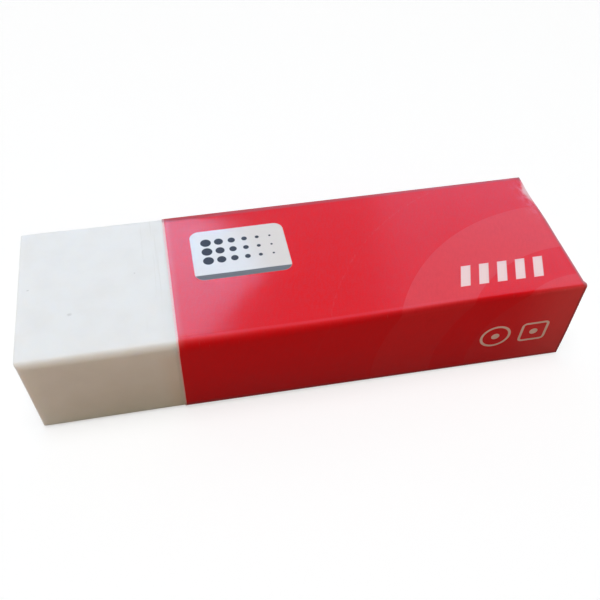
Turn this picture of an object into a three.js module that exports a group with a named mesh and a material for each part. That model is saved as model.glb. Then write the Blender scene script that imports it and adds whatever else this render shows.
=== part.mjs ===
import * as THREE from 'three';

// A pencil eraser: a white vinyl block that slides in a sleeve of folded, printed card.
// Millimetres, +Z up. X runs along the block, and its bare rubbing end faces -X.
// Y runs from the front panel of the sleeve to the back panel, where the card is glued.
// The origin is under the middle of the whole eraser, on the surface that it lies on.

// Vinyl block
const BLOCK_LENGTH = 62;
const BLOCK_WIDTH = 19;
const BLOCK_HEIGHT = 12;
const BLOCK_EDGE_RADIUS = 0.5; // the four long edges
const BLOCK_END_ROUNDING = 0.15; // the rims of the two ends

// Card sleeve
const SLEEVE_LENGTH = 46;
const SLEEVE_PAST_BLOCK = 0.2; // how far the sleeve reaches past the covered end of the block
const CARD_THICKNESS = 0.2;
const FOLD_RADIUS = 0.2; // on the inside of each fold
const SLIDE_CLEARANCE = 0.04; // all round, between the block and the card
const FLAP_HEIGHT = 9; // glue flap inside the back panel, from the top of the sleeve down
const BACK_EDGE_DROP = 0.8; // free edge of the back panel, below the top of the sleeve

// Glue between the flap and the back panel
const GLUE_THICKNESS = 0.05;
const GLUE_MARGIN = 1; // bare card round the glue

// Facets
const ARC_SEGMENTS = 3;
const END_ROUNDING_SEGMENTS = 2;

const QUARTER_TURN = Math.PI / 2;

// Places along X
const wholeLength = BLOCK_LENGTH + SLEEVE_PAST_BLOCK;
const rubbingEndX = -wholeLength / 2;
const sleeveEndX = wholeLength / 2;
const sleeveMouthX = sleeveEndX - SLEEVE_LENGTH;

// Places across the section, with Y counted from the middle of the block
const blockBaseZ = CARD_THICKNESS + SLIDE_CLEARANCE;
const sleeveTopZ = blockBaseZ + BLOCK_HEIGHT + SLIDE_CLEARANCE + CARD_THICKNESS;
const cardInsideY = BLOCK_WIDTH / 2 + SLIDE_CLEARANCE;
const flapOutsideY = cardInsideY + CARD_THICKNESS;
const backPanelInsideY = flapOutsideY + GLUE_THICKNESS;
const flapEndZ = sleeveTopZ - FLAP_HEIGHT;
const backPanelEndZ = sleeveTopZ - BACK_EDGE_DROP;

// A rectangle about the origin with four round corners.
function roundedRectangle(width, height, radius) {
  const y = width / 2 - radius;
  const z = height / 2 - radius;
  const centres = [[y, z], [-y, z], [-y, -z], [y, -z]];
  const shape = new THREE.Shape();
  centres.forEach(([centreY, centreZ], quarter) => {
    const start = quarter * QUARTER_TURN;
    shape.absarc(centreY, centreZ, radius, start, start + QUARTER_TURN, false);
  });
  return shape;
}

// The section of a strip of card that follows a middle line, folded square at each inner corner.
// The line turns left at every fold, so the outside of the card is on its right.
function foldedStrip(middleLine, thickness, insideRadius) {
  const lefts = middleLine.slice(1).map((corner, i) => {
    const run = corner.clone().sub(middleLine[i]).normalize();
    return new THREE.Vector2(-run.y, run.x);
  });
  const toCentre = insideRadius + thickness / 2;
  const folds = middleLine.slice(1, -1).map((corner, i) => ({
    centre: corner.clone().addScaledVector(lefts[i], toCentre).addScaledVector(lefts[i + 1], toCentre),
    start: Math.atan2(-lefts[i].y, -lefts[i].x),
  }));
  const endPoint = (end, side) => end.clone().addScaledVector(side, thickness / 2);

  const first = middleLine[0];
  const last = middleLine[middleLine.length - 1];
  const firstLeft = lefts[0];
  const lastLeft = lefts[lefts.length - 1];
  const outside = endPoint(first, firstLeft.clone().negate());
  const outsideEnd = endPoint(last, lastLeft.clone().negate());
  const insideEnd = endPoint(last, lastLeft);
  const inside = endPoint(first, firstLeft);

  const shape = new THREE.Shape();
  shape.moveTo(outside.x, outside.y);
  folds.forEach(({ centre, start }) => {
    shape.absarc(centre.x, centre.y, insideRadius + thickness, start, start + QUARTER_TURN, false);
  });
  shape.lineTo(outsideEnd.x, outsideEnd.y);
  shape.lineTo(insideEnd.x, insideEnd.y);
  folds.reverse().forEach(({ centre, start }) => {
    shape.absarc(centre.x, centre.y, insideRadius, start + QUARTER_TURN, start, true);
  });
  shape.lineTo(inside.x, inside.y);
  shape.closePath();
  return shape;
}

// A section drawn in Y and Z, carried along +X from x = 0.
function extrudeAlongX(section, settings) {
  const geometry = new THREE.ExtrudeGeometry(section, { curveSegments: ARC_SEGMENTS, ...settings });
  const sectionToPart = new THREE.Matrix4().makeBasis(
    new THREE.Vector3(0, 1, 0),
    new THREE.Vector3(0, 0, 1),
    new THREE.Vector3(1, 0, 0),
  );
  return geometry.applyMatrix4(sectionToPart);
}

// The block: a bar with softly rounded long edges and a small rounding round each end.
function makeBlock() {
  const geometry = extrudeAlongX(roundedRectangle(BLOCK_WIDTH, BLOCK_HEIGHT, BLOCK_EDGE_RADIUS), {
    depth: BLOCK_LENGTH - 2 * BLOCK_END_ROUNDING,
    bevelEnabled: true,
    bevelThickness: BLOCK_END_ROUNDING,
    bevelSize: BLOCK_END_ROUNDING,
    bevelOffset: -BLOCK_END_ROUNDING,
    bevelSegments: END_ROUNDING_SEGMENTS,
  });
  const vinyl = new THREE.MeshStandardMaterial({ color: 0xe9eaea, roughness: 0.6, metalness: 0 });
  const block = new THREE.Mesh(geometry, vinyl);
  block.name = 'eraser_block';
  block.position.set(rubbingEndX + BLOCK_END_ROUNDING, 0, blockBaseZ + BLOCK_HEIGHT / 2);
  return block;
}

// The sleeve: one strip of card, from the glue flap over the top, down the front,
// under the block and up the back, where the last panel covers the flap.
function makeSleeve() {
  const half = CARD_THICKNESS / 2;
  const flapY = cardInsideY + half;
  const frontY = -cardInsideY - half;
  const backY = backPanelInsideY + half;
  const topZ = sleeveTopZ - half;
  const bottomZ = half;
  const middleLine = [
    new THREE.Vector2(flapY, flapEndZ),
    new THREE.Vector2(flapY, topZ),
    new THREE.Vector2(frontY, topZ),
    new THREE.Vector2(frontY, bottomZ),
    new THREE.Vector2(backY, bottomZ),
    new THREE.Vector2(backY, backPanelEndZ),
  ];
  const section = foldedStrip(middleLine, CARD_THICKNESS, FOLD_RADIUS);
  const geometry = extrudeAlongX(section, { depth: SLEEVE_LENGTH, bevelEnabled: false });
  const printedCard = new THREE.MeshStandardMaterial({ color: 0xd82634, roughness: 0.35, metalness: 0 });
  const sleeve = new THREE.Mesh(geometry, printedCard);
  sleeve.name = 'card_sleeve';
  sleeve.position.x = sleeveMouthX;
  return sleeve;
}

// The dried glue: a thin flat film that fills the gap between the flap and the back panel.
function makeSeamGlue() {
  const bottomZ = flapEndZ + GLUE_MARGIN;
  const topZ = backPanelEndZ - GLUE_MARGIN;
  const geometry = new THREE.BoxGeometry(SLEEVE_LENGTH - 2 * GLUE_MARGIN, GLUE_THICKNESS, topZ - bottomZ);
  const driedGlue = new THREE.MeshStandardMaterial({ color: 0xe6dcc0, roughness: 0.5, metalness: 0 });
  const glue = new THREE.Mesh(geometry, driedGlue);
  glue.name = 'seam_glue';
  glue.position.set(
    sleeveMouthX + SLEEVE_LENGTH / 2,
    (flapOutsideY + backPanelInsideY) / 2,
    (bottomZ + topZ) / 2,
  );
  return glue;
}

// The back is thicker than the front by the glue and one more layer of card,
// so the group moves forward by half of that to bring the whole eraser to the middle.
const eraser = new THREE.Group();
eraser.position.y = -(GLUE_THICKNESS + CARD_THICKNESS) / 2;
eraser.add(makeBlock(), makeSleeve(), makeSeamGlue());

export default eraser;
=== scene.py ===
"""The looks of a sleeved vinyl eraser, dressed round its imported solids. Metres, +Z up.

X runs along the block from the bare rubbing end to the covered end, and Y from the front
panel of the card sleeve to its glued back panel.
"""

import math

import bpy
import numpy as np
from mathutils import Matrix, Vector


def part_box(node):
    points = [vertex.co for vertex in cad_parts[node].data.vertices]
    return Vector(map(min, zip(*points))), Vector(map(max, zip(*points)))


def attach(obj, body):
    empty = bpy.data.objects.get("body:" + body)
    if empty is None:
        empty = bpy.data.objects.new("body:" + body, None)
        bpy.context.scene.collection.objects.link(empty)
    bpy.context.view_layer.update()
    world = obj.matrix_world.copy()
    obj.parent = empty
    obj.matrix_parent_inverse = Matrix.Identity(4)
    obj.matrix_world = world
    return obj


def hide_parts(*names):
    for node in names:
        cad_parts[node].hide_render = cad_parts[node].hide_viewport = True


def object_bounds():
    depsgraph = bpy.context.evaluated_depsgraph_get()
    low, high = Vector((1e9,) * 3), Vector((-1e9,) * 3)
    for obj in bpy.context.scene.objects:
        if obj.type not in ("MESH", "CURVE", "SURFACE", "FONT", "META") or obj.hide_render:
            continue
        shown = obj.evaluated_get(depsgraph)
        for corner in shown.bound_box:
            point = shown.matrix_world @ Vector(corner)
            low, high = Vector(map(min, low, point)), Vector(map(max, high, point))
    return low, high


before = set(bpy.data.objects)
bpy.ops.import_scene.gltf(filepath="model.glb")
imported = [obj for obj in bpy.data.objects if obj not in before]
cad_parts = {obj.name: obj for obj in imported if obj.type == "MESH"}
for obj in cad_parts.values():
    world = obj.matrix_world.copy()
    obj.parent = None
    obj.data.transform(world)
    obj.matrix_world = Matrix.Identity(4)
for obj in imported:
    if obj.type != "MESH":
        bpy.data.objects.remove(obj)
cad_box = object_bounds()

MM = 0.001

# Places that the solids give
block_low, block_high = (np.array(corner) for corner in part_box("eraser_block"))
sleeve_low, sleeve_high = (np.array(corner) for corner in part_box("card_sleeve"))
glue_low, glue_high = (np.array(corner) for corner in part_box("seam_glue"))
sleeve_length = sleeve_high[0] - sleeve_low[0]

# Vinyl block
# Rounding of its long edges along Y and Z: back top, front top, front bottom and back bottom
BARE_EDGE_RADII = np.array(((0.4, 0.4), (0.5, 1.0), (0.4, 0.4), (0.5, 0.5))) * MM
COVERED_EDGE_RADII = np.array(((0.3, 0.3), (0.4, 0.6), (0.3, 0.3), (0.4, 0.4))) * MM
BLOCK_RIM_RADIUS = 0.12 * MM
EDGE_WEAR = 0.04 * MM
EDGE_WEAR_WAVE = 17 * MM
EDGE_WEAR_SEED = 3
BLOCK_DISH = 0.015 * MM
DISH_TURN = 2.2  # radians of its swell, from the middle of the block to an end
DISH_PHASE = 0.6
END_LEAN = 0.5 * MM  # how far the foot of the rubbing end is set in
END_LEAN_REACH = 12 * MM
END_CORNER = 0.42 * MM  # rounding of the rubbing end's front edge, at its top
END_CORNER_REACH = 4 * END_CORNER
FRONT_LEAN = 0.36 * MM  # of the front top edge of the bare end, out to the front
LEAN_REACH = 14 * MM  # past the mouth: the block's lean is gone here, and the sleeve's begins to fade
BLOCK_SIDE_STEPS = 40
BLOCK_CORNER_STEPS = 11
BLOCK_RIM_STEPS = 7
BLOCK_FACE_STEPS = 14
BLOCK_LENGTH_STEPS = 150

# Card sleeve
CARD = 0.2 * MM
# Rounding of the middle of the card along Y and Z, in the same order; at the mouth it is worn soft
MOUTH_FOLD_RADII = np.array(((0.94, 0.94), (0.4, 1.4), (0.94, 0.94), (0.7, 0.7))) * MM
END_FOLD_RADII = np.array(((0.2, 0.2), (0.25, 0.25), (0.2, 0.2), (0.25, 0.25))) * MM
GLUE_MARGIN = 1.0 * MM
TOP_BOW = 0.07 * MM
FRONT_BOW = 0.05 * MM
BOW_SWELL = 0.25  # the share of the bow that comes and goes along the sleeve
BOW_HALF_TURNS = 2.6
BOW_PHASE = 0.5
CARD_SWAY = 0.012 * MM
SWAY_WAVE = 14 * MM
SWAY_SEED = 21
PRESS = 0.025 * MM  # of the front panel against the block, at the mouth
PRESS_REACH = 8 * MM
FOLD_LEAN = 0.38 * MM  # of the front fold at the mouth, out to the front
FOLD_LEAN_END = 36 * MM
CUT_WANDER = 0.02 * MM
CUT_WAVE = 9 * MM
MOUTH_CUT_SEED = 11
END_CUT_SEED = 12
TOP_SETBACK = 0.2 * MM  # of the top panel's end, behind that of the front panel
SETBACK_BACK = (-0.2 * MM, 0.2 * MM)  # where it begins and is full, round the card
SETBACK_FRONT = (0.6 * MM, 0.3 * MM)  # where it fades and ends, before the front fold
CORNER_WEAR = 0.12 * MM
CORNER_START = 0.4 * MM
CORNER_PEAK = 3.2 * MM
CORNER_END = 9.5 * MM
CARD_SPACING = 0.4 * MM
FOLD_STEPS = 15
SLEEVE_LENGTH_STEPS = 150
END_CROWDING = 0.35  # how much closer the steps lie at the two cut ends
FLAT_MAP = "flat_card"
SHARP_EDGE = math.radians(40)

# Layout of the print, in millimetres on the flat card: along the sleeve from its mouth,
# and round it from the middle of the fold between the glue flap and the top panel
LABEL_CENTRE = (8.4, 6.9)
LABEL_HALF = (5.5, 4.0)
LABEL_CORNER = 1.1
LABEL_BAND = 0.75
DOT_PITCH = 1.5
DOT_COLUMNS = 6
DOT_ROWS = 3
DOT_LARGEST = 0.62
DOT_SMALLEST = 0.14
DOT_RISE = 0.45
DOT_TRIM = 0.01
BARS_CENTRE = (37.2, 15.6)
BARS_HALF = (5.2, 1.5)
BARS_PITCH = 2.2
BARS_WIDTH = 1.15
BARS_SLANT = 0.35
ARC_CENTRE = (45.8, 29.7)
ARC_RADII = (24.0, 16.7, 12.3)
ARC_LINE_RADIUS = 31.4
ARC_LINE_WIDTH = 0.16
ARC_FADE = 0.7  # of the arcs on the front panel
ARC_FADE_ACROSS = (-0.2, 0.4)
MARKS_DROP = 6.9  # below the front fold
RING_ALONG = 36.6
RING_RADIUS = 1.73
FRAME_ALONG = 41.4
FRAME_HALF = 1.55
FRAME_CORNER = 0.45
MARK_LINE = 0.32
MARK_DOT = 0.5
INK_EDGE = 0.04
GRAIN_SLANT = -0.3  # radians

# Marks on the vinyl, in millimetres. Each pair is where a mark begins and where it is full, and
# each four is where it begins, is full, fades and ends. A strength runs from 0 to 1
MOTTLE_STRENGTH = 0.2
LOOSE_SPECK_STRENGTH = 0.4
TOP_SPECKS = ((-25.6, -4.1, 0.24), (-30.0, 0.15, 0.14))  # x, y and radius
TOP_SPECK_HEIGHT = (11.0, 12.0)
TOP_SPECK_STRENGTH = 0.25
STREAK_BEFORE_MOUTH = (0.2, 0.8, 2.2, 3.4)
STREAK_HEIGHT = (10.0, 12.0)
STREAK_STRENGTH = 0.35
# Painted reddish shade on the front face just before the mouth, standing in for light thrown back from
# the red card
MOUTH_SHADE_BEFORE = (-2.5, 0.0, 0.0, 2.8)
MOUTH_SHADE_HEIGHT = (11.4, 9.5)
MOUTH_SHADE_FRONT = (-8.5, -9.3)
MOUTH_SHADE_STRENGTH = 0.3

# Wear of the print, and painted shade and sheen on it, given in the same way: along the sleeve, round it
# or across one of its folds
PANEL_CHANGE = 0.2
# Painted shade: the front panel is printed darker, but for its covered end
FRONT_PANEL_SHADE_ALONG = (44.0, 34.0)
FRONT_PANEL_SHADE_STRENGTH = 0.15
FRONT_PALE_ALONG = (37.0, 46.0)
FRONT_PALE_STRENGTH = 0.065
# Painted shade along the front fold over its covered half, where the rounded fold turns from the light
FOLD_SHADE_ACROSS = (-0.2, 0.0, 0.04, 0.19)
FOLD_SHADE_ALONG = (12.0, 26.0)
FOLD_SHADE_STRENGTH = 0.55
# The top of the front fold is worn paler and painted with a pink sheen, most towards the mouth
FOLD_WEAR_SHEEN_ACROSS = (-0.62, -0.4, -0.3, 0.08)
FOLD_WEAR_SHEEN_ALONG = (36.0, 26.0)
FOLD_WEAR_SHEEN_STRENGTH = 0.26
FOLD_WEAR_SHEEN_PEAK_ALONG = (10.0, 2.5)
FOLD_WEAR_SHEEN_PEAK_EXTRA = 0.44
MOUTH_EDGE_ALONG = (0.3, 0.16)
MOUTH_EDGE_NARROWING = 0.08
NARROWING_ACROSS = (-0.6, 0.8)
MOUTH_WORN_ALONG = (1.1, 0.2)
MOUTH_WORN_STRENGTH = 0.1
CREASE_ACROSS = (0.22, 0.05)
CREASE_STRENGTH = 0.3
FLAP_BARE_ROUND = (-1.1, -1.25)
# Painted shade along the back fold and the covered end's edge, and a painted contact shadow along the
# foot fold
BACK_RIM_ROUND = (0.6, 0.1)
BACK_RIM_STRENGTH = 0.65
FOOT_RIM_ACROSS = (0.7, 0.1)
FOOT_RIM_STRENGTH = 0.4
END_RIM_FROM_END = (0.58, 0.3)
END_RIM_ROUND = (4.5, 6.5)
END_RIM_STRENGTH = 0.7
END_RIM_NARROWING = 0.15  # on the front panel
END_RIM_WEAKENING = 0.15  # on the front panel
SMEAR_FROM_END = (2.6, 0.0)
SMEAR_ROUND = (0.0, 2.0, 5.0, 9.5)
SMEAR_STRENGTH = 0.5
SCUFF_WIDTH = 0.7
SCUFF_FROM_END = (0.5, -0.3)
SCUFF_ROUND = (0.3, 3.0, 3.0, 6.4)
SCUFF_BACK_ROUND = (0.3, 0.7)
SCUFF_FRONT_ACROSS = (0.2, -0.5)
SCUFF_STRENGTH = 0.85
TIP_FROM_END = (0.8, 0.2)
TIP_CENTRE = 0.1
TIP_ACROSS = (0.9, 0.3)
TIP_STRENGTH = 0.55

# Relief of the finishes
VINYL_RELIEF = 0.012 * MM
PRINT_RELIEF = 0.05 * MM
RAW_RELIEF = 0.02 * MM
GLUE_RELIEF = 0.01 * MM
VINYL_GLOW = 1.5 * MM  # how far light spreads under the surface

# Colours, linear
VINYL = (0.848, 0.848, 0.848)
VINYL_SHADE = (0.73, 0.72, 0.70)
VINYL_SPECK = (0.28, 0.27, 0.26)
# Tint of the painted reddish shade on the vinyl's front face beside the mouth
MOUTH_SHADE_TINT = (0.80, 0.58, 0.46)
RED = (0.768, 0.003, 0.006)
PALE_RED = (0.778, 0.040, 0.046)
# Deep red of the print, which is also the colour of the painted shade on the front panel and its fold
DARK_RED = (0.55, 0.006, 0.010)
LABEL_WHITE = (0.75, 0.71, 0.70)
THIN_WHITE = (0.88, 0.64, 0.62)
DARK_INK = (0.055, 0.056, 0.075)
GREY_INK = (0.17, 0.18, 0.20)
BARE_CARD = (0.80, 0.79, 0.77)
GREY_CARD = (0.56, 0.53, 0.49)
EDGE_CARD = (0.93, 0.70, 0.71)
# Pink of the worn front fold and of the sheen painted on it
FOLD_WEAR_SHEEN_RED = (0.775, 0.085, 0.115)
SCUFFED_RED = (0.76, 0.57, 0.58)
SMEARED_RED = (0.80, 0.22, 0.32)
WORN_TIP = (0.20, 0.09, 0.06)
# Colours of the painted shade along the rims, on the top panel and on the front panel
RIM_SHADE_RED = (0.36, 0.09, 0.11)
FRONT_RIM_SHADE = (0.20, 0.05, 0.06)
GLUE = (0.74, 0.66, 0.46)
GLUE_SHADE = (0.66, 0.56, 0.36)
WHITE = (1.0, 1.0, 1.0)
BLACK = (0.0, 0.0, 0.0)

# Floor: what the eye sees, and the light that it throws back. Its places are in millimetres
FLOOR_SIZE = 1.5  # metres from its middle to a side
FLOOR_DEPTH = 0.02 * MM  # below the eraser
FLOOR_SEEN = (0.44, 0.44, 0.44)
FLOOR_LIFT = (0.6, 0.6, 0.6)
FLOOR_FAR = (100.0, 600.0)
FRONT_BOUNCE = (0.58, 0.42, 0.39)
FRONT_SHADE = (0.10, 0.0, 0.0)
BACK_BOUNCE = (0.60, 0.585, 0.56)
BACK_SHADE = (0.34, 0.33, 0.31)
FLOOR_WARM_FROM = (-6.0, -16.0)
FLOOR_SHADE_REACH = (2.0, 16.0)
FLOOR_BRIGHT_END = 9.0  # the length of the bare end that the shade leaves out

# Room and lamps
ROOM_LIGHT = (0.29, 0.295, 0.30)
FRONT_LIGHT = (0.29, 0.24, 0.07)
ROOM_FRONT = (0.0, -0.5)  # of a direction's Y
ROOM_LOW = (0.9, 0.5)  # of a direction's Z
SKY = (1.0, 1.024, 1.083)
WINDOW = (0.25, 0.62, 1.0)
LAMP_TARGET = Vector((0, 0, 6)) * MM

# Camera
CAMERA_AZIMUTH = math.radians(-13.629)
CAMERA_ELEVATION = math.radians(48.317)
CAMERA_ROLL = math.radians(2.784)
CAMERA_DISTANCE = 88.50 * MM
CAMERA_TARGET = Vector((0.080, -1.072, 6.24)) * MM
CAMERA_LENS = 44.365
CAMERA_SENSOR = 36.0
CAMERA_NEAR = 1 * MM


class Wire:
    """A shader socket that takes part in Python sums: each operator adds a Math node."""

    def __init__(self, tree, socket):
        self.tree = tree
        self.socket = socket

    def node(self, kind, settings, inputs, output=0):
        """Adds a node of a kind, sets its settings, feeds its inputs and gives one output."""
        made = self.tree.nodes.new(kind)
        for name, value in settings.items():
            setattr(made, name, value)
        for name, value in inputs.items():
            if isinstance(value, Wire):
                self.tree.links.new(value.socket, made.inputs[name])
            elif isinstance(value, tuple) and made.inputs[name].type == "RGBA":
                made.inputs[name].default_value = (*value, 1.0)
            else:
                made.inputs[name].default_value = value
        return Wire(self.tree, made.outputs[output] if made.outputs else None)

    def output(self, name):
        """Another output of the node that this wire leaves."""
        return Wire(self.tree, self.socket.node.outputs[name])

    def math(self, operation, first, second=0.0):
        """Adds a Math node that works on one or two numbers."""
        return self.node("ShaderNodeMath", {"operation": operation}, {0: first, 1: second})

    def __add__(self, other):
        return self.math("ADD", self, other)

    def __sub__(self, other):
        return self.math("SUBTRACT", self, other)

    def __rsub__(self, other):
        return self.math("SUBTRACT", other, self)

    def __mul__(self, other):
        return self.math("MULTIPLY", self, other)

    def __truediv__(self, other):
        return self.math("DIVIDE", self, other)

    def __abs__(self):
        return self.math("ABSOLUTE", self)

    def __mod__(self, other):
        return self.math("FLOORED_MODULO", self, other)

    __radd__ = __add__
    __rmul__ = __mul__

    def least(self, other):
        return self.math("MINIMUM", self, other)

    def most(self, other):
        return self.math("MAXIMUM", self, other)

    def floor(self):
        return self.math("FLOOR", self)

    def root(self):
        return self.math("SQRT", self)

    def step(self, low, high):
        """Rises smoothly from 0 where this wire is low to 1 where it is high."""
        settings = {"interpolation_type": "SMOOTHSTEP"}
        return self.node("ShaderNodeMapRange", settings, {"Value": self, 1: low, 2: high})

    def band(self, begin, full, fade, end):
        """Rises smoothly from 0 at begin to 1 at full, and falls from 1 at fade to 0 at end."""
        return self.step(begin, full) * self.step(end, fade)

    def blend(self, first, second):
        """The first colour where this wire is 0, and the second where it is 1."""
        settings = {"data_type": "RGBA"}
        return self.node("ShaderNodeMix", settings, {0: self, 6: first, 7: second}, 2)

    def noise(self, scale, detail=2.0, roughness=0.5):
        """Smooth noise about 0.5 over this vector, with scale bumps in one of its units."""
        inputs = {"Vector": self, "Scale": scale, "Detail": detail, "Roughness": roughness}
        return self.node("ShaderNodeTexNoise", {}, inputs)

    def stretch(self, scale):
        """This vector with each axis multiplied by its own number."""
        return self.node("ShaderNodeVectorMath", {"operation": "MULTIPLY"}, {0: self, 1: scale})


def new_material(name):
    """An empty material, and a wire to its node tree."""
    material = bpy.data.materials.new(name)
    material.use_nodes = True
    tree = material.node_tree
    tree.nodes.clear()
    return material, Wire(tree, None)


def finish_surface(start, inputs):
    """Ends a material in a Principled shader with the given inputs."""
    shader = start.node("ShaderNodeBsdfPrincipled", {}, inputs)
    start.node("ShaderNodeOutputMaterial", {}, {"Surface": shader})


def bump(start, height, depth):
    """A normal that is tilted as if the height, from 0 to 1, stood up by the depth in metres."""
    return start.node("ShaderNodeBump", {}, {"Strength": 1.0, "Distance": depth, "Height": height})


def millimetres(start):
    """Object coordinates as a vector in millimetres."""
    place = start.node("ShaderNodeTexCoord", {}, {}, "Object")
    return place.stretch((1 / MM,) * 3)


def flat_card(start):
    """The place on the flat card as a vector in millimetres: along the sleeve, and round it."""
    return start.node("ShaderNodeUVMap", {"uv_map": FLAT_MAP}, {}, "UV")


def split(vector):
    """The three numbers of a vector."""
    x = vector.node("ShaderNodeSeparateXYZ", {}, {"Vector": vector}, "X")
    return x, x.output("Y"), x.output("Z")


def waves(position, seed, longest, count=5):
    """A smooth random line within about -1 to 1: sines whose length and height halve each time."""
    draw = np.random.default_rng(seed)
    total = np.zeros_like(position)
    for k in range(count):
        turn = 2 * math.pi * 2**k / longest * draw.uniform(0.8, 1.25)
        total += np.sin(position * turn + draw.uniform(0, 2 * math.pi)) / 2**k
    return total / 2


def ripples(x, y, seed, longest, count=12):
    """A smooth random sheet, mostly within -2 to 2: plane waves in random directions."""
    draw = np.random.default_rng(seed)
    total = np.zeros(np.broadcast(x, y).shape)
    for _ in range(count):
        heading = draw.uniform(0, math.pi)
        turn = 2 * math.pi / (longest * draw.uniform(0.4, 1.0))
        along = x * math.cos(heading) + y * math.sin(heading)
        total += np.sin(along * turn + draw.uniform(0, 2 * math.pi))
    return total / math.sqrt(count)


def smooth(value, low, high):
    """Rises smoothly from 0 at low to 1 at high."""
    t = np.clip((value - low) / (high - low), 0, 1)
    return t * t * (3 - 2 * t)


def mesh_object(name, points, faces, materials):
    """A mesh piece from its points and faces, smooth but for its sharp edges."""
    mesh = bpy.data.meshes.new(name)
    mesh.from_pydata(points, [], faces)
    mesh.shade_smooth()
    mesh.set_sharp_from_angle(angle=SHARP_EDGE)
    for material in materials:
        mesh.materials.append(material)
    piece = bpy.data.objects.new(name, mesh)
    bpy.context.scene.collection.objects.link(piece)
    return piece


def quads(a, b, c, d):
    """Faces from four arrays of corner numbers, counter-clockwise as seen from outside."""
    return np.stack([a.ravel(), b.ravel(), c.ravel(), d.ravel()], 1)


# Vinyl block
def rounded_section(half_width, half_height, radii):
    """A rectangle with a quarter oval of its own at each corner, run counter-clockwise from the right.

    Gives its points, their outward normals, and how far into a corner each one is, from 0 to 1.
    """
    points, normals, corner = [], [], []
    centres = np.array([[1, 1], [-1, 1], [-1, -1], [1, -1]]) * ((half_width, half_height) - radii)
    share = np.linspace(0, 1, BLOCK_SIDE_STEPS)[1:-1, None]
    for quarter in range(4):
        following = (quarter + 1) % 4
        angle = (quarter + np.linspace(0, 1, BLOCK_CORNER_STEPS)) * math.pi / 2
        normal = np.stack([np.cos(angle), np.sin(angle)], 1)
        arc = centres[quarter] + radii[quarter] * normal
        next_start = centres[following] + radii[following] * normal[-1]
        points += [arc, (1 - share) * arc[-1] + share * next_start]
        normals += [normal, np.repeat(normal[-1:], len(share), 0)]
        corner += [np.sin(np.linspace(0, math.pi, BLOCK_CORNER_STEPS)), np.zeros(len(share))]
    return np.concatenate(points), np.concatenate(normals), np.concatenate(corner)


def block_stations(half_length):
    """Where the section is set: from the middle of the bare end, over its rim and along to the other end.

    On an end the section grows in even steps from a point to its full size. On a rim it is drawn in
    as a quarter circle is. Gives the places along X, the shares of the size and how far it is drawn in.
    """
    face = np.linspace(0, 1, BLOCK_FACE_STEPS)[:-1]
    rim = np.linspace(0, math.pi / 2, BLOCK_RIM_STEPS)
    run = np.linspace(-1, 1, BLOCK_LENGTH_STEPS)[1:-1]
    whole = np.ones_like(face)
    end_x = half_length - BLOCK_RIM_RADIUS
    x = [
        -half_length * whole,
        -end_x - BLOCK_RIM_RADIUS * np.cos(rim),
        run * end_x,
        end_x + BLOCK_RIM_RADIUS * np.cos(rim[::-1]),
        half_length * whole,
    ]
    size = [face, np.ones(len(rim) * 2 + len(run)), face[::-1]]
    drawn_in = [whole, 1 - np.sin(rim), np.zeros_like(run), 1 - np.sin(rim[::-1]), whole]
    return np.concatenate(x), np.concatenate(size), BLOCK_RIM_RADIUS * np.concatenate(drawn_in)


def capped_tube(points, poles):
    """A closed tube of points, round its section and along it, with a fan from a pole at each end."""
    around, length = points.shape[:2]
    number = np.arange(around * length).reshape(around, length)
    after = np.roll(number, -1, 0)
    body = quads(number[:, :-1], number[:, 1:], after[:, 1:], after[:, :-1])
    first_pole = np.full(around, around * length)
    first_fan = np.stack([first_pole, number[:, 0], after[:, 0]], 1)
    last_fan = np.stack([first_pole + 1, after[:, -1], number[:, -1]], 1)
    faces = body.tolist() + first_fan.tolist() + last_fan.tolist()
    return np.concatenate([points.reshape(-1, 3), poles]), faces


def vinyl_block(material):
    """The block: its rounded section is carried along its stations, from a bare one to a covered one.

    The faces dish in a little, and the long edges are worn down unevenly. The rubbing end was cut
    a little off the square, with its foot set in, and its front edge is rounded towards the top.
    The front top edge of the bare end stands out by a hair.
    """
    middle = (block_low + block_high) / 2
    half = (block_high - block_low) / 2
    x, size, drawn_in = block_stations(half[0])
    bare, normal, corner = rounded_section(half[1], half[2], BARE_EDGE_RADII)
    covered = rounded_section(half[1], half[2], COVERED_EDGE_RADII)[0]
    worn = EDGE_WEAR * corner[:, None] * (0.5 + 0.5 * waves(x, EDGE_WEAR_SEED, EDGE_WEAR_WAVE))
    swell = 0.5 + 0.5 * np.sin(x / half[0] * DISH_TURN + DISH_PHASE)
    inward = drawn_in + worn + BLOCK_DISH * (1 - corner[:, None]) * swell
    under_card = smooth(x + middle[0], sleeve_low[0], block_high[0])[:, None]
    section = bare[:, None] + (covered - bare)[:, None] * under_card
    across = (section - normal[:, None] * inward[..., None]) * size[:, None]

    forward = 0.5 - across[..., 0] / (2 * half[1])
    rise = across[..., 1] / (2 * half[2])
    from_end = x + half[0]
    end_lean = END_LEAN * (0.5 - rise) * (1 - smooth(from_end, 0, END_LEAN_REACH))
    depth = np.clip(1 - (across[..., 0] + half[1]) / END_CORNER, 0, 1)
    turned = (1 - np.sqrt(1 - depth**2)) * (0.5 + rise) * (1 - smooth(from_end, 0, END_CORNER_REACH))
    bare_share = 1 - smooth(x + middle[0], sleeve_low[0], sleeve_low[0] + LEAN_REACH)
    across[..., 0] -= FRONT_LEAN * forward * (0.5 + rise) * bare_share
    along = x + end_lean + END_CORNER * turned
    rings = np.concatenate([along[..., None], across], 2)[:, 1:-1] + middle

    poles = [middle - (half[0] - END_LEAN / 2, 0, 0), middle + (half[0], 0, 0)]
    points, faces = capped_tube(rings, poles)
    piece = mesh_object("vinyl_block", points.tolist(), faces, [material])
    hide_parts("eraser_block")
    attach(piece, "block")


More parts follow.
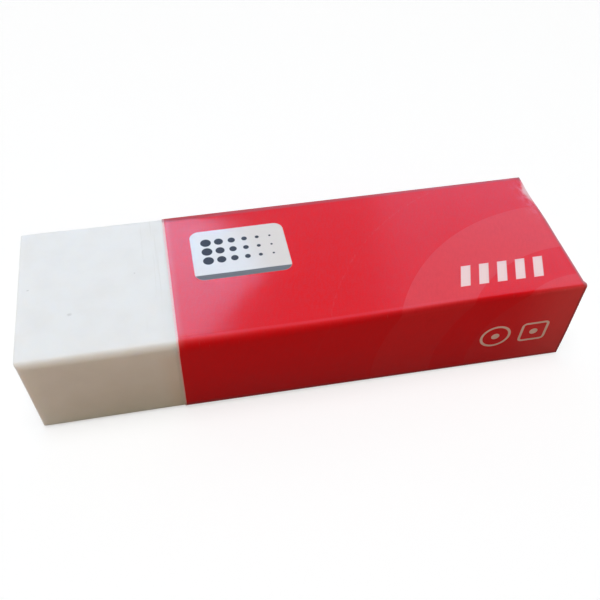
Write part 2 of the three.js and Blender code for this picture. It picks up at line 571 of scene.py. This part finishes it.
# Card sleeve
def folded_line(corners, radii):
    """A square line through its corners, all turning left, with a quarter oval at each inner one.

    Gives its points, the unit normals on its right and the length along it, and the length at
    the middle of each fold.
    """
    heading = np.diff(corners, axis=0)
    reach = np.linalg.norm(heading, axis=1, keepdims=True)
    heading = heading / reach
    right = np.stack([heading[:, 1], -heading[:, 0]], 1)
    last = len(heading) - 1
    before = np.abs(heading[:-1] * radii).sum(1)
    after = np.abs(heading[1:] * radii).sum(1)
    start_inset = np.concatenate([[0], after])
    end_inset = np.concatenate([before, [0]])
    angle = np.linspace(0, math.pi / 2, FOLD_STEPS)[1:-1, None]
    points, normals, folds = [], [], []
    for i in range(last + 1):
        start = corners[i] + start_inset[i] * heading[i]
        end = corners[i + 1] - end_inset[i] * heading[i]
        steps = int(reach[i, 0] / CARD_SPACING)
        share = np.linspace(0, 1, steps)[:, None]
        points.append((1 - share) * start + share * end)
        normals.append(np.repeat(right[i : i + 1], steps, 0))
        if i < last:
            ahead = before[i] * np.sin(angle)
            aside = after[i] * (1 - np.cos(angle))
            bend = after[i] * np.sin(angle) * heading[i] + before[i] * np.cos(angle) * right[i]
            folds.append(sum(map(len, points)) + len(angle) // 2)
            points.append(end + ahead * heading[i] + aside * heading[i + 1])
            normals.append(bend / np.linalg.norm(bend, axis=1, keepdims=True))
    points, normals = np.concatenate(points), np.concatenate(normals)
    length = np.concatenate([[0], np.cumsum(np.linalg.norm(np.diff(points, axis=0), axis=1))])
    return points, normals, length, length[folds]


def sleeve_line(fold_radii):
    """The middle of the card, from the end of the glue flap over the top and round to the back."""
    half = CARD / 2
    flap, back = glue_low[1] - half, sleeve_high[1] - half
    front = sleeve_low[1] + half
    top, bottom = sleeve_high[2] - half, sleeve_low[2] + half
    corners = [
        (flap, glue_low[2] - GLUE_MARGIN),
        (flap, top),
        (front, top),
        (front, bottom),
        (back, bottom),
        (back, glue_high[2] + GLUE_MARGIN),
    ]
    return folded_line(np.array(corners), fold_radii)


# The line of the card at the mouth and at the end, and the places of its folds, counted round it from
# the back top one: in metres for the mesh, and in millimetres for the print
mouth_points = sleeve_line(MOUTH_FOLD_RADII)[0]
end_points, line_normals, line_length, line_folds = sleeve_line(END_FOLD_RADII)
round_v = line_length - line_folds[0]
front_fold_v, foot_fold_v, back_fold_v = line_folds[1:] - line_folds[0]
front_fold, foot_fold, back_fold = front_fold_v / MM, foot_fold_v / MM, back_fold_v / MM


def cut_run(v, share):
    """Places along the sleeve: a share of the way from the cut of the mouth to that of the end.

    The cuts wander by a hair. The top panel ends before the front one, with its back corner worn down.
    """
    before_fold = [front_fold_v - before for before in SETBACK_FRONT]
    top_only = smooth(v, *SETBACK_BACK) * (1 - smooth(v, *before_fold))
    corner_fade = 1 - smooth(v, CORNER_PEAK, CORNER_END)
    worn_corner = CORNER_WEAR * smooth(v, CORNER_START, CORNER_PEAK) * corner_fade
    mouth = CUT_WANDER * waves(v, MOUTH_CUT_SEED, CUT_WAVE)
    wander = CUT_WANDER * (1 + waves(v, END_CUT_SEED, CUT_WAVE))
    end = sleeve_length - wander - TOP_SETBACK * top_only - worn_corner
    return mouth + (end - mouth) * share


def panel_bow(u, v):
    """How far the panels stand out from the folded line: half a sine across the top and the front.

    The bow swells and sways along the sleeve, and the front one lies close to the block at the mouth.
    """
    on_top = np.sin(math.pi * np.clip(v / front_fold_v, 0, 1))
    on_front = np.sin(math.pi * np.clip((v - front_fold_v) / (foot_fold_v - front_fold_v), 0, 1))
    swell = 1 - BOW_SWELL + BOW_SWELL * np.sin(u / sleeve_length * BOW_HALF_TURNS * math.pi + BOW_PHASE)
    sway = CARD_SWAY * (1 + ripples(u, v, SWAY_SEED, SWAY_WAVE)) * (on_top + on_front)
    loose = on_front * (FRONT_BOW * swell + PRESS) + sway
    bow = on_top * TOP_BOW * swell + loose * smooth(u, 0, PRESS_REACH)
    return bow - on_front * PRESS


def fold_lean(u, v):
    """How far the front fold leans out: most at the fold, and evenly less towards the next two folds."""
    down_front = (foot_fold_v - v) / (foot_fold_v - front_fold_v)
    share = np.clip(np.where(v < front_fold_v, v / front_fold_v, down_front), 0, 1)
    return FOLD_LEAN * share * (1 - smooth(u, LEAN_REACH, FOLD_LEAN_END))


def card_faces(around, length):
    """Faces of the card between its outside points and its inside ones: printed, raw and cut."""
    out = np.arange(around * length).reshape(around, length)
    back = out + around * length
    printed = quads(out[:-1, :-1], out[1:, :-1], out[1:, 1:], out[:-1, 1:])
    raw = quads(back[:-1, :-1], back[:-1, 1:], back[1:, 1:], back[1:, :-1])
    cut = [
        quads(out[:-1, 0], back[:-1, 0], back[1:, 0], out[1:, 0]),
        quads(out[:-1, -1], out[1:, -1], back[1:, -1], back[:-1, -1]),
        quads(out[0, :-1], out[0, 1:], back[0, 1:], back[0, :-1]),
        quads(out[-1, :-1], back[-1, :-1], back[-1, 1:], out[-1, 1:]),
    ]
    return printed, raw, np.concatenate(cut)


def printed_sleeve(materials):
    """The sleeve: the folded line of the card carried from mouth to end, once outside and once inside.

    The folds are rounder at the mouth than at the covered end. The panels bow, and the front fold
    leans out at the mouth. A map gives each point's place on the flat card, in millimetres.
    """
    v = round_v[:, None]
    even = np.linspace(0, 1, SLEEVE_LENGTH_STEPS)[None]
    share = (1 - END_CROWDING) * even + END_CROWDING * (0.5 - 0.5 * np.cos(math.pi * even))
    u = cut_run(v, share)
    across = mouth_points[:, None] + (end_points - mouth_points)[:, None] * share[..., None]
    lean = fold_lean(u, v)
    across = across - np.stack([lean, np.zeros_like(lean)], 2)
    bow = panel_bow(u, v)
    outward = line_normals[:, None]
    x = (sleeve_low[0] + u)[..., None]
    outside = np.concatenate([x, across + outward * (CARD / 2 + bow)[..., None]], 2)
    inside = np.concatenate([x, across + outward * (bow - CARD / 2)[..., None]], 2)
    points = np.concatenate([outside.reshape(-1, 3), inside.reshape(-1, 3)])

    printed, raw, cut = card_faces(*u.shape)
    faces = np.concatenate([printed, raw, cut])
    piece = mesh_object("printed_sleeve", points.tolist(), faces.tolist(), materials)
    slots = np.repeat([0, 1, 2], [len(printed), len(raw), len(cut)])
    piece.data.polygons.foreach_set("material_index", slots.astype(np.int32))
    flat = np.stack([u, np.broadcast_to(v, u.shape)], 2).reshape(-1, 2) / MM
    flat = np.concatenate([flat, flat])
    layer = piece.data.uv_layers.new(name=FLAT_MAP)
    layer.uv.foreach_set("vector", flat[faces.ravel()].astype(np.float32).ravel())
    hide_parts("card_sleeve")
    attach(piece, "sleeve")


# Finishes
def distance(x, y):
    """The length of a flat vector."""
    return (x * x + y * y).root()


def box_distance(x, y, half_x, half_y, corner):
    """How far a point lies outside a rectangle about the origin with round corners."""
    over_x = abs(x) - (half_x - corner)
    over_y = abs(y) - (half_y - corner)
    outer = distance(over_x.most(0.0), over_y.most(0.0))
    return outer + over_x.most(over_y).least(0.0) - corner


def vinyl_finish():
    """Matt white vinyl: faint mottling, dark specks, streaks beside the mouth, and a painted reddish
    shade on its front face beside the mouth.

    A few specks lie anywhere, in odd cells of a cell pattern, and the others have places of their own.
    """
    material, start = new_material("white_vinyl")
    place = millimetres(start)
    x, y, z = split(place)
    mottle = place.noise(0.35, 3.0)
    grain = place.noise(9.0, 2.0)
    cells = start.node("ShaderNodeTexVoronoi", {}, {"Vector": place, "Scale": 0.28})
    odd = split(cells.output("Color"))[0].step(0.72, 0.74)
    speck = (1 - cells.step(0.02, 0.045)) * odd * LOOSE_SPECK_STRENGTH
    for speck_x, speck_y, radius in TOP_SPECKS:
        off = distance((x - speck_x) * 0.7, y - speck_y) + (grain - 0.5) * 0.15
        near = off.step(radius, radius * 0.4) * z.step(*TOP_SPECK_HEIGHT)
        speck = speck.most(near * TOP_SPECK_STRENGTH)
    before_mouth = sleeve_low[0] / MM - x
    streak = place.stretch((3.2, 0.12, 0.12)).noise(1.0, 2.0).step(0.56, 0.72)
    streak = streak * before_mouth.band(*STREAK_BEFORE_MOUTH) * z.step(*STREAK_HEIGHT)
    mouth_shade = before_mouth.band(*MOUTH_SHADE_BEFORE) * z.step(*MOUTH_SHADE_HEIGHT) * y.step(*MOUTH_SHADE_FRONT)
    shade = mottle.step(0.35, 0.75) * MOTTLE_STRENGTH + streak * STREAK_STRENGTH
    colour = shade.blend(VINYL, VINYL_SHADE)
    colour = speck.blend(colour, VINYL_SPECK)
    # Painted reddish shade on the front face beside the mouth
    colour = (mouth_shade * MOUTH_SHADE_STRENGTH).blend(colour, MOUTH_SHADE_TINT)
    height = grain * 0.6 + place.noise(1.6, 2.0) * 0.4 - streak * 0.3
    finish_surface(
        start,
        {
            "Base Color": colour,
            "Roughness": 0.5 + 0.16 * mottle,
            "IOR": 1.47,
            "Specular IOR Level": 0.031,
            "Subsurface Weight": 0.6,
            "Subsurface Radius": (1.0, 0.9, 0.8),
            "Subsurface Scale": VINYL_GLOW,
            "Normal": bump(start, height, VINYL_RELIEF),
        },
    )
    return material


def ink(how_far):
    """1 inside an outline and 0 outside it, with the soft edge of printed ink."""
    return how_far.step(INK_EDGE, -INK_EDGE)


def arcs_mask(u, v, broken):
    """Rings about a point on the front panel: a pale one, a plain one and a pale disc, and a thin line.

    They are fainter on the front panel than on the top one and end at its foot, and the line is broken.
    """
    radius = distance(u - ARC_CENTRE[0], v - ARC_CENTRE[1])
    outer, inner, disc = ARC_RADII
    pale = ink(radius - outer) - ink(radius - inner) + ink(radius - disc)
    line = ink(abs(radius - ARC_LINE_RADIUS) - ARC_LINE_WIDTH / 2)
    fade = 1 - (v - front_fold).step(*ARC_FADE_ACROSS) * ARC_FADE
    return (pale + line * broken) * fade * (v - foot_fold).step(PANEL_CHANGE, -PANEL_CHANGE)


def label_masks(u, v):
    """A white label with round corners, a grey band along its foot, and dots that shrink along it."""
    x, y = u - LABEL_CENTRE[0], v - LABEL_CENTRE[1]
    label = ink(box_distance(x, y, *LABEL_HALF, LABEL_CORNER))
    band = label * (y - (LABEL_HALF[1] - LABEL_BAND)).step(-INK_EDGE, INK_EDGE)
    half_columns, half_rows = DOT_COLUMNS / 2, DOT_ROWS / 2
    column = x / DOT_PITCH + half_columns
    row = (y + DOT_RISE) / DOT_PITCH + half_rows
    inside = abs(column - half_columns).step(half_columns, half_columns - DOT_TRIM)
    inside = inside * abs(row - half_rows).step(half_rows, half_rows - DOT_TRIM)
    shrink = (DOT_SMALLEST - DOT_LARGEST) / (DOT_COLUMNS - 1)
    size = column.floor() * shrink + DOT_LARGEST
    off_x = (column % 1.0 - 0.5) * DOT_PITCH
    off_y = (row % 1.0 - 0.5) * DOT_PITCH
    dots = inside * ink(distance(off_x, off_y) - size)
    return label, band, dots


def bars_mask(u, v):
    """A row of slanting bars: the distance to the nearest one in the row, cut off at its four sides."""
    x, y = u - BARS_CENTRE[0], v - BARS_CENTRE[1]
    slanted = x + y * BARS_SLANT
    bar = abs((slanted / BARS_PITCH + 0.5) % 1.0 - 0.5) * BARS_PITCH - BARS_WIDTH / 2
    return ink(bar.most(abs(y) - BARS_HALF[1]).most(abs(slanted) - BARS_HALF[0]))


def marks_mask(u, v):
    """On the front panel: a ring and a square frame of thin lines, each with a dot in it."""
    y = v - (front_fold + MARKS_DROP)
    frame_x = u - FRAME_ALONG
    from_ring = distance(u - RING_ALONG, y)
    ring = abs(from_ring - RING_RADIUS) - MARK_LINE / 2
    square = abs(box_distance(frame_x, y, FRAME_HALF, FRAME_HALF, FRAME_CORNER)) - MARK_LINE / 2
    dots = from_ring.least(distance(frame_x, y)) - MARK_DOT
    return ink(ring.least(square).least(dots))


def red_ground(u, v, on_front, mottle, tooth, grain):
    """The red print: pale rings and flecks, deeper patches, and painted shade on the front panel and
    along its fold.

    The front panel is rubbed paler towards the covered end. The top of the fold is worn paler and painted
    with a pink sheen, most towards the mouth.
    """
    past_fold = v - front_fold
    arcs = arcs_mask(u, v, grain.step(0.4, 0.65) * 0.5) * (0.7 + 0.3 * mottle)
    flecks = tooth.step(0.35, 0.7) * 0.2 + grain.step(0.35, 0.7) * 0.2
    pale = arcs + flecks * (1 - on_front * 0.8)
    colour = pale.blend(RED, PALE_RED)
    # Deeper patches of the print, with painted shade on the front panel and along the front fold added
    deep_ink_and_shade = mottle.step(0.35, 0.8) * 0.06 + grain.step(0.3, 0.7) * 0.16
    # Painted shade over the front panel
    deep_ink_and_shade = deep_ink_and_shade + on_front * u.step(*FRONT_PANEL_SHADE_ALONG) * FRONT_PANEL_SHADE_STRENGTH
    # Painted shade along the front fold
    deep_ink_and_shade = deep_ink_and_shade + past_fold.band(*FOLD_SHADE_ACROSS) * u.step(*FOLD_SHADE_ALONG) * FOLD_SHADE_STRENGTH
    colour = deep_ink_and_shade.blend(colour, DARK_RED)
    rubbed = on_front * u.step(*FRONT_PALE_ALONG) * FRONT_PALE_STRENGTH
    colour = rubbed.blend(colour, EDGE_CARD)
    # Wear and a painted pink sheen along the top of the front fold, strongest towards the mouth
    worn = past_fold.band(*FOLD_WEAR_SHEEN_ACROSS) * u.step(*FOLD_WEAR_SHEEN_ALONG)
    strength = FOLD_WEAR_SHEEN_STRENGTH + FOLD_WEAR_SHEEN_PEAK_EXTRA * u.step(*FOLD_WEAR_SHEEN_PEAK_ALONG)
    return (worn * strength).blend(colour, FOLD_WEAR_SHEEN_RED)


def small_prints(colour, u, v):
    """The label, bars and marks over the red, and where their dark inks lie."""
    label, band, dots = label_masks(u, v)
    colour = label.blend(colour, LABEL_WHITE)
    colour = band.blend(colour, GREY_INK)
    colour = dots.blend(colour, DARK_INK)
    thin = bars_mask(u, v).most(marks_mask(u, v))
    return thin.blend(colour, THIN_WHITE), dots.most(band)


def worn_edges(colour, u, v, on_front, tooth, fibre):
    """The print with its worn edges: creases rubbed to the card, a bare flap and a pale cut at the mouth.

    Gives the colour, and where the card shows in the creases, on the flap and at the mouth.
    """
    past_fold = v - front_fold
    crease = abs(v).least(abs(past_fold)).least(abs(v - foot_fold)).least(abs(v - back_fold))
    rubbed = crease.step(*CREASE_ACROSS) * fibre.step(0.68, 0.8) * CREASE_STRENGTH
    flap = v.step(*FLAP_BARE_ROUND)
    paper = (fibre.step(0.3, 0.75) * 0.5).blend(BARE_CARD, GREY_CARD)
    colour = rubbed.most(flap).blend(colour, paper)
    worn_mouth = u.step(*MOUTH_WORN_ALONG) * (1 - on_front)
    colour = (worn_mouth * MOUTH_WORN_STRENGTH).blend(colour, SCUFFED_RED)
    narrow = past_fold.step(*NARROWING_ACROSS) * MOUTH_EDGE_NARROWING
    mouth = (u + narrow).step(*MOUTH_EDGE_ALONG) * (0.65 + 0.35 * tooth.step(0.3, 0.5))
    return mouth.blend(colour, EDGE_CARD), rubbed, flap, mouth


def worn_and_shaded_end(colour, flat, on_front, flap):
    """The print with painted shade along the back fold, the foot fold and the covered end's edge, and
    with a smear, a pale scuff and a dark tip at the covered end.

    The smear and the scuff are ragged, and lie on the back part of the top panel. Gives the colour,
    and where the scuff lies.
    """
    u, v, _ = split(flat)
    from_end = sleeve_length / MM - u
    # Painted shade: dark lines along the back fold, the foot fold and the covered end's edge
    back_rim_shade = v.step(*BACK_RIM_ROUND) * BACK_RIM_STRENGTH
    foot_rim_shade = abs(v - foot_fold).step(*FOOT_RIM_ACROSS) * FOOT_RIM_STRENGTH
    end_rim_shade = (from_end + on_front * END_RIM_NARROWING).step(*END_RIM_FROM_END) * v.step(*END_RIM_ROUND)
    end_rim_shade = end_rim_shade * (END_RIM_STRENGTH - END_RIM_WEAKENING * on_front)
    rim = back_rim_shade.most(end_rim_shade).most(foot_rim_shade)
    # Lays the painted rim shade over the print, but not on the bare flap
    colour = (rim * (1 - flap)).blend(colour, on_front.blend(RIM_SHADE_RED, FRONT_RIM_SHADE))
    ragged = flat.stretch((1.0, 0.6, 1.0)).noise(1.5, 4.0, 0.65)
    smear = from_end.step(*SMEAR_FROM_END) * v.band(*SMEAR_ROUND) * ragged.step(0.4, 0.65)
    scuff_width = v.band(*SCUFF_ROUND) * SCUFF_WIDTH * (ragged * 1.6 + 0.3)
    scuff = (from_end - scuff_width).step(*SCUFF_FROM_END)
    scuff = scuff * v.step(*SCUFF_BACK_ROUND) * (v - front_fold).step(*SCUFF_FRONT_ACROSS)
    tip = from_end.step(*TIP_FROM_END) * abs(v - TIP_CENTRE).step(*TIP_ACROSS)
    colour = (smear * SMEAR_STRENGTH).blend(colour, SMEARED_RED)
    colour = (scuff * SCUFF_STRENGTH).blend(colour, SCUFFED_RED)
    return (tip * TIP_STRENGTH).blend(colour, WORN_TIP), scuff


def printed_card_finish():
    """Printed card under a glossy varnish, worn at its edges and folds, with painted shade and sheen
    along its rims and folds, and scuffed at one corner.

    Where the card shows, and on the dark inks, it is matt.
    """
    material, start = new_material("printed_card")
    flat = flat_card(start)
    u, v, _ = split(flat)
    mottle = flat.noise(0.5, 3.0)
    tooth = flat.noise(7.0, 3.0, 0.6)
    fibre = flat.stretch((2.2, 0.5, 1.0)).noise(2.0, 3.0, 0.6)
    slanted = start.node("ShaderNodeMapping", {}, {"Vector": flat, "Rotation": (0, 0, GRAIN_SLANT)})
    grain = slanted.stretch((2.4, 0.7, 1.0)).noise(1.5, 3.0, 0.6)
    streaks = slanted.stretch((1.1, 0.14, 1.0)).noise(1.0, 2.0)
    past_fold, past_foot = v - front_fold, v - foot_fold
    on_front = past_fold.step(-PANEL_CHANGE, PANEL_CHANGE) * past_foot.step(PANEL_CHANGE, -PANEL_CHANGE)

    colour = red_ground(u, v, on_front, mottle, tooth, grain)
    colour, dark_ink = small_prints(colour, u, v)
    colour, rubbed, flap, mouth = worn_edges(colour, u, v, on_front, tooth, fibre)
    colour, scuff = worn_and_shaded_end(colour, flat, on_front, flap)
    rubbed = rubbed.most(scuff)
    matt = rubbed.most(flap).most(mouth).most(dark_ink)
    height = streaks * 0.4 + grain * 0.12 + tooth * 0.03 + fibre * 0.08 * rubbed
    finish_surface(
        start,
        {
            "Base Color": colour,
            "Roughness": 0.06 + 0.06 * tooth + matt * 0.5,
            "Specular IOR Level": 0.018,
            "Normal": bump(start, height, PRINT_RELIEF),
        },
    )
    return material


def raw_card_finish():
    """The unprinted inside of the card: grey-white, with fibres along its length."""
    material, start = new_material("raw_card")
    flat = flat_card(start)
    fibre = flat.stretch((1.0, 5.0, 1.0)).noise(1.6, 4.0, 0.65)
    fleck = flat.noise(3.0, 2.0)
    grey = fibre.step(0.35, 0.7) * 0.35 + fleck.step(0.62, 0.7) * 0.25
    finish_surface(
        start,
        {
            "Base Color": grey.blend(BARE_CARD, GREY_CARD),
            "Roughness": 0.75 + 0.15 * fibre,
            "Specular IOR Level": 0.12,
            "Normal": bump(start, fibre * 0.7 + fleck * 0.3, RAW_RELIEF),
        },
    )
    return material


def cut_edge_finish():
    """The cut edge of the card: pale pressed fibre."""
    material, start = new_material("cut_card_edge")
    fibre = millimetres(start).noise(6.0, 4.0, 0.7)
    grey = fibre.step(0.35, 0.7) * 0.4
    finish_surface(
        start,
        {
            "Base Color": grey.blend(BARE_CARD, GREY_CARD),
            "Roughness": 0.8 + 0.1 * fibre,
            "Specular IOR Level": 0.1,
            "Normal": bump(start, fibre, RAW_RELIEF),
        },
    )
    return material


def glue_finish():
    """A dried film of paper glue: yellowish, half glossy, with small bubbles."""
    material, start = new_material("dried_glue")
    place = millimetres(start)
    cloud = place.noise(0.8, 3.0)
    bubble = start.node("ShaderNodeTexVoronoi", {}, {"Vector": place, "Scale": 1.7})
    finish_surface(
        start,
        {
            "Base Color": cloud.blend(GLUE, GLUE_SHADE),
            "Roughness": 0.35 + 0.2 * cloud,
            "Normal": bump(start, bubble, GLUE_RELIEF),
        },
    )
    return material


# Stage
def seen(start):
    """1 for what the eye sees, straight, reflected or through glass, and 0 for light thrown about."""
    rays = start.node("ShaderNodeLightPath", {}, {}, "Is Camera Ray")
    return rays.most(rays.output("Is Glossy Ray")).most(rays.output("Is Transmission Ray"))


def make_floor():
    """A wide flat floor: white to the eye and in reflections, also far away where little light falls.

    The light that it throws back is warm in front of the eraser. It is weaker close to the eraser,
    but not beside the tip of the bare end.
    """
    material, start = new_material("floor")
    shown = seen(start)
    x, y, _ = split(millimetres(start))
    half_x = cad_box[1][0] / MM - FLOOR_BRIGHT_END / 2
    half_y = cad_box[1][1] / MM
    beside = box_distance(x - FLOOR_BRIGHT_END / 2, y, half_x, half_y, 0.0).step(*FLOOR_SHADE_REACH)
    warm = beside.blend(FRONT_SHADE, FRONT_BOUNCE)
    thrown = y.step(*FLOOR_WARM_FROM).blend(beside.blend(BACK_SHADE, BACK_BOUNCE), warm)
    matt = start.node("ShaderNodeBsdfDiffuse", {}, {"Color": shown.blend(thrown, FLOOR_SEEN)})
    lift = distance(x, y).step(*FLOOR_FAR).blend(FLOOR_LIFT, WHITE)
    lift = start.node("ShaderNodeEmission", {}, {"Color": shown.blend(BLACK, lift)})
    both = start.node("ShaderNodeAddShader", {}, {0: matt, 1: lift})
    start.node("ShaderNodeOutputMaterial", {}, {"Surface": both})
    square = ((-1, -1), (1, -1), (1, 1), (-1, 1))
    corners = [(FLOOR_SIZE * x_sign, FLOOR_SIZE * y_sign, -FLOOR_DEPTH) for x_sign, y_sign in square]
    floor = mesh_object("floor", corners, [(0, 1, 2, 3)], [material])


def make_world():
    """A faintly cool room that is warm in front: white to the eye and in reflections."""
    world = bpy.data.worlds.new("room")
    world.use_nodes = True
    tree = world.node_tree
    tree.nodes.clear()
    start = Wire(tree, None)
    _, y, z = split(start.node("ShaderNodeTexCoord", {}, {}, "Generated"))
    warm = y.step(*ROOM_FRONT) * z.step(*ROOM_LOW)
    colour = seen(start).blend(warm.blend(ROOM_LIGHT, FRONT_LIGHT), WHITE)
    shader = start.node("ShaderNodeBackground", {}, {"Color": colour, "Strength": 1.0})
    start.node("ShaderNodeOutputWorld", {}, {"Surface": shader})
    bpy.context.scene.world = world


def make_lamp(name, place, size, radiance, colour, glare=False, oval=False, roll=0.0):
    """A flat lamp, square or oval, that faces the eraser, with the radiance of its face.

    One for glare shows in glossy surfaces alone, and any other lights matt surfaces alone.
    """
    data = bpy.data.lights.new(name, "AREA")
    data.shape = "ELLIPSE" if oval else "RECTANGLE"
    data.size, data.size_y = size
    area = size[0] * size[1] * (math.pi / 4 if oval else 1)
    data.energy = radiance * math.pi * area
    data.color = colour
    lamp = bpy.data.objects.new(name, data)
    aim = LAMP_TARGET - Vector(place)
    turn = aim.to_track_quat("-Z", "Y").to_matrix().to_4x4() @ Matrix.Rotation(roll, 4, "Z")
    lamp.matrix_world = Matrix.Translation(place) @ turn
    lamp.visible_camera = False
    lamp.visible_diffuse = not glare
    lamp.visible_glossy = glare
    bpy.context.scene.collection.objects.link(lamp)


def make_lamps():
    """A broad soft lamp above, three windows behind for the card's glare, and a weak lamp at each end."""
    window = {"colour": WINDOW, "glare": True}
    left_pane = {"place": (-0.073, 0.25, 0.2875), "size": (0.222, 0.130), "oval": True}
    right_pane = {"place": (0.209, 0.25, 0.275), "size": (0.19, 0.20), "roll": math.radians(28)}
    far_pane = {"place": (0.06, 0.27, 0.30), "size": (0.55, 0.30)}
    fill = {"size": (0.2, 0.2), "radiance": 9.0, "colour": WHITE}
    make_lamp("skylight", place=(-0.03, -0.06, 0.63), size=(0.34, 0.34), radiance=6.95, colour=SKY)
    make_lamp("window_left", **left_pane, radiance=82.0, **window)
    make_lamp("window_right", **right_pane, radiance=12.0, **window)
    make_lamp("far_window", **far_pane, radiance=13.0, **window)
    make_lamp("fill_left", place=(-0.6, 0.12, 0.03), **fill)
    make_lamp("fill_right", place=(0.6, 0.12, 0.03), **fill)


def make_camera():
    """A camera set by its bearing, height and roll about the point that it looks at."""
    level = math.cos(CAMERA_ELEVATION)
    ahead = math.cos(CAMERA_AZIMUTH) * level
    back = Vector((math.sin(CAMERA_AZIMUTH) * level, -ahead, math.sin(CAMERA_ELEVATION)))
    right = Vector((0, 0, 1)).cross(back).normalized()
    up = back.cross(right)
    rolled_right = right * math.cos(CAMERA_ROLL) + up * math.sin(CAMERA_ROLL)
    rolled_up = up * math.cos(CAMERA_ROLL) - right * math.sin(CAMERA_ROLL)
    data = bpy.data.cameras.new("camera")
    data.lens = CAMERA_LENS
    data.sensor_width = CAMERA_SENSOR
    data.clip_start = CAMERA_NEAR
    camera = bpy.data.objects.new("camera", data)
    turn = Matrix((rolled_right, rolled_up, back)).transposed().to_4x4()
    camera.matrix_world = Matrix.Translation(CAMERA_TARGET + back * CAMERA_DISTANCE) @ turn
    bpy.context.scene.collection.objects.link(camera)
    bpy.context.scene.camera = camera


make_camera()
vinyl_block(vinyl_finish())
printed_sleeve([printed_card_finish(), raw_card_finish(), cut_edge_finish()])
glue_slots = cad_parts["seam_glue"].material_slots
glue_slots[0].material = glue_finish()
make_floor()
make_world()
make_lamps()
bpy.context.scene.view_settings.view_transform = "Standard"
